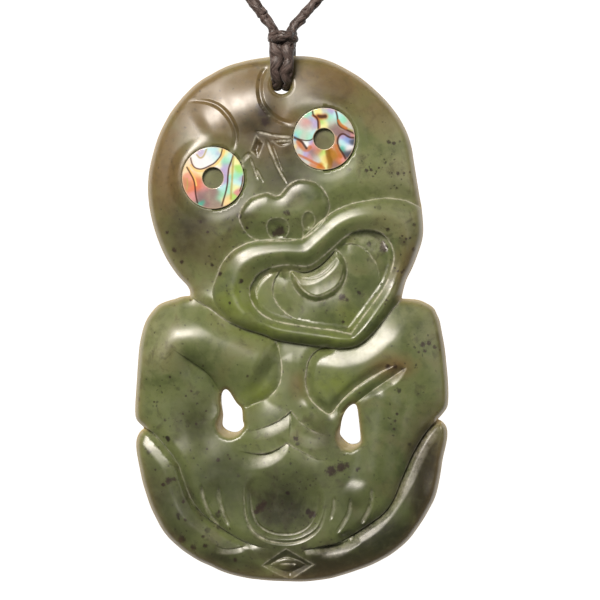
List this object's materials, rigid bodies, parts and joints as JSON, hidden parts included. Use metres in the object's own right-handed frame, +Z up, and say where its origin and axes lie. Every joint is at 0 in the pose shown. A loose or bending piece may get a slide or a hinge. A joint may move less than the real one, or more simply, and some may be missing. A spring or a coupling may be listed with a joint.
{
  "type": "hei tiki pendant on a neck cord",
  "caption": "Carved jade hei tiki figure with inlaid shell ring eyes, hung by a lark's head hitch from a plaited cord loop worn round the neck.",
  "frame": {"origin": "the nape of the neck, where the cord's knot rests, in the cord's centre line", "axes": "+Z up, the figure faces -Y, +X to the right in the front view"},
  "size_m": [0.1226, 0.1409, 0.2088],
  "materials": {
    "jade": "polished green nephrite, slightly translucent, with dark specks",
    "shell": "polished iridescent shell with dark veins",
    "cord": "waxed dark brown plaited cotton"
  },
  "bodies": {
    "root": {"tiki": "jade", "left_eye": "shell", "right_eye": "shell", "hitch": "cord", "left_cord": "cord", "right_cord": "cord", "nape_knot": "cord"}
  },
  "joints": []
}
